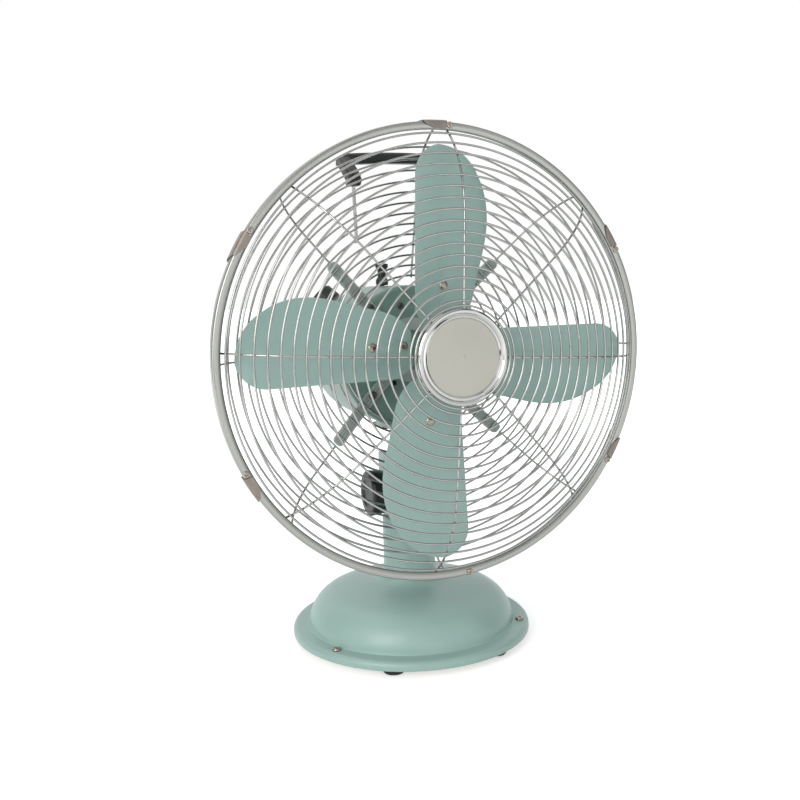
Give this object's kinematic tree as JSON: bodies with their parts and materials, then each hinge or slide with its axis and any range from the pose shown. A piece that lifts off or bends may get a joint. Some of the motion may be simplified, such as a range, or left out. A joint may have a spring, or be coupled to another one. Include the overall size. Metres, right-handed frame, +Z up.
{
  "type": "desk fan",
  "caption": "Round desk fan with a pressed base, tilting neck, oscillating motor head, pitched blades in a wire guard and a carrying handle.",
  "frame": {"origin": "on the floor under the neck's axis, which is the axis of oscillation; the object's box is centred over it to about 2 mm", "axes": "+Z up, the fan blows towards -Y, +X on the right seen from the front"},
  "size_m": [0.34, 0.2392, 0.4103],
  "materials": {
    "mint_paint": "satin powder coat",
    "chrome": "bright plated wire and band",
    "steel": "zinc-plated steel",
    "badge_satin": "satin beige grey",
    "black_plastic": "matt black",
    "rubber": "matt",
    "cast_iron": "raw",
    "aluminium": "die cast",
    "laminate": "stacked laminations",
    "copper": "varnished windings",
    "bronze": "sintered bush",
    "grey_nylon": "natural nylon",
    "grey_paint": "grey enamel"
  },
  "bodies": {
    "base": {"base_shell": "mint_paint", "base_plate": "steel", "ballast_weight": "cast_iron", "rubber_feet": "rubber", "base_screws": "steel", "cord_gland": "black_plastic", "terminal_block": "grey_nylon", "neck_lug": "mint_paint", "lug_bolts": "steel"},
    "tilt_bracket": {"tilt_bracket": "mint_paint", "tilt_bolt": "steel", "tilt_washers": "steel", "pivot_pin": "steel", "pivot_clip": "steel", "link_stud": "steel"},
    "tilt_knob": {"tilt_knob": "black_plastic"},
    "head": {"motor_cradle": "mint_paint", "pivot_bush": "bronze", "housing_screws": "steel", "rear_housing": "mint_paint", "front_cover": "mint_paint", "stator_core": "laminate", "stator_coils": "copper", "front_bracket": "aluminium", "rear_bracket": "aluminium", "bearings": "bronze", "capacitor": "grey_nylon", "gearbox_case": "grey_nylon", "speed_switch": "black_plastic", "guard_spider": "grey_paint", "spider_screws": "steel", "rear_guard": "chrome", "front_guard": "chrome", "guard_band": "chrome", "band_screws": "steel", "badge_rim": "chrome", "badge_disc": "badge_satin", "handle_straps": "steel", "handle_grip": "black_plastic", "handle_bolts": "steel"},
    "rotor": {"rotor_shaft": "steel", "rotor_core": "laminate", "worm": "steel", "blade_hub": "aluminium", "blade_1": "mint_paint", "blade_2": "mint_paint", "blade_3": "mint_paint", "blade_4": "mint_paint", "blade_rivets": "steel", "hub_nut": "steel"},
    "worm_wheel": {"worm_wheel": "grey_nylon"},
    "crank": {"crank_gear": "grey_nylon"},
    "osc_link": {"osc_link": "steel"},
    "osc_knob": {"osc_knob": "black_plastic"},
    "speed_knob": {"speed_knob": "black_plastic"},
    "clip_1": {"clip_1": "chrome"},
    "clip_2": {"clip_2": "chrome"},
    "clip_3": {"clip_3": "chrome"},
    "clip_4": {"clip_4": "chrome"},
    "clip_5": {"clip_5": "chrome"}
  },
  "joints": [
    {"name": "tilt", "type": "hinge", "parent": "base", "child": "tilt_bracket", "pos_m": [0, 0, 0.121], "axis": [1, 0, 0], "range_deg": [-20, 10]},
    {"name": "swing", "type": "hinge", "parent": "tilt_bracket", "child": "head", "pos_m": [0, 0, 0.152], "axis": [0, 0, 1], "range_deg": [-30, 30]},
    {"name": "tilt_knob_turn", "type": "hinge", "parent": "tilt_bracket", "child": "tilt_knob", "pos_m": [-0.0287, 0, 0.121], "axis": [-1, 0, 0], "range_deg": [0, 180]},
    {"name": "rotor_spin", "type": "hinge", "parent": "head", "child": "rotor", "pos_m": [0, 0, 0.2385], "axis": [0, 1, 0], "continuous": true},
    {"name": "worm_wheel_spin", "type": "hinge", "parent": "head", "child": "worm_wheel", "pos_m": [-0.0135, 0.049, 0.2385], "axis": [0, 0, 1], "continuous": true},
    {"name": "crank_spin", "type": "hinge", "parent": "head", "child": "crank", "pos_m": [0, 0.049, 0.17], "axis": [0, 0, 1], "continuous": true},
    {"name": "link_swing", "type": "hinge", "parent": "tilt_bracket", "child": "osc_link", "pos_m": [0.018, 0, 0.1635], "axis": [0, 0, 1], "range_deg": [-30, 30]},
    {"name": "osc_knob_pull", "type": "slide", "parent": "head", "child": "osc_knob", "axis": [0, 0, 1], "range_m": [0, 0.006]},
    {"name": "speed_knob_turn", "type": "hinge", "parent": "head", "child": "speed_knob", "pos_m": [-0.03534, 0.08685, 0.27462], "axis": [-0.5917, 0.3907, 0.7051], "range_deg": [0, 135]},
    {"name": "clip_1_open", "type": "hinge", "parent": "head", "child": "clip_1", "pos_m": [-0.00813, -0.0714, 0.4048], "axis": [-0.9988, 0, -0.0489], "range_deg": [0, 70]},
    {"name": "clip_2_open", "type": "hinge", "parent": "head", "child": "clip_2", "pos_m": [0.13995, -0.0714, 0.32869], "axis": [-0.5417, 0, 0.8406], "range_deg": [0, 70]},
    {"name": "clip_3_open", "type": "hinge", "parent": "head", "child": "clip_3", "pos_m": [0.14809, -0.0714, 0.16239], "axis": [0.4571, 0, 0.8894], "range_deg": [0, 70]},
    {"name": "clip_4_open", "type": "hinge", "parent": "head", "child": "clip_4", "pos_m": [-0.13995, -0.0714, 0.14831], "axis": [0.5417, 0, -0.8406], "range_deg": [0, 70]},
    {"name": "clip_5_open", "type": "hinge", "parent": "head", "child": "clip_5", "pos_m": [-0.14809, -0.0714, 0.31461], "axis": [-0.4571, 0, -0.8894], "range_deg": [0, 70]}
  ],
  "couplings": [
    {"joint": "worm_wheel_spin", "follows": "rotor_spin", "ratio": 0.05},
    {"joint": "crank_spin", "follows": "rotor_spin", "ratio": -0.020833},
    {"joint": "link_swing", "follows": "swing", "ratio": 0.95}
  ]
}
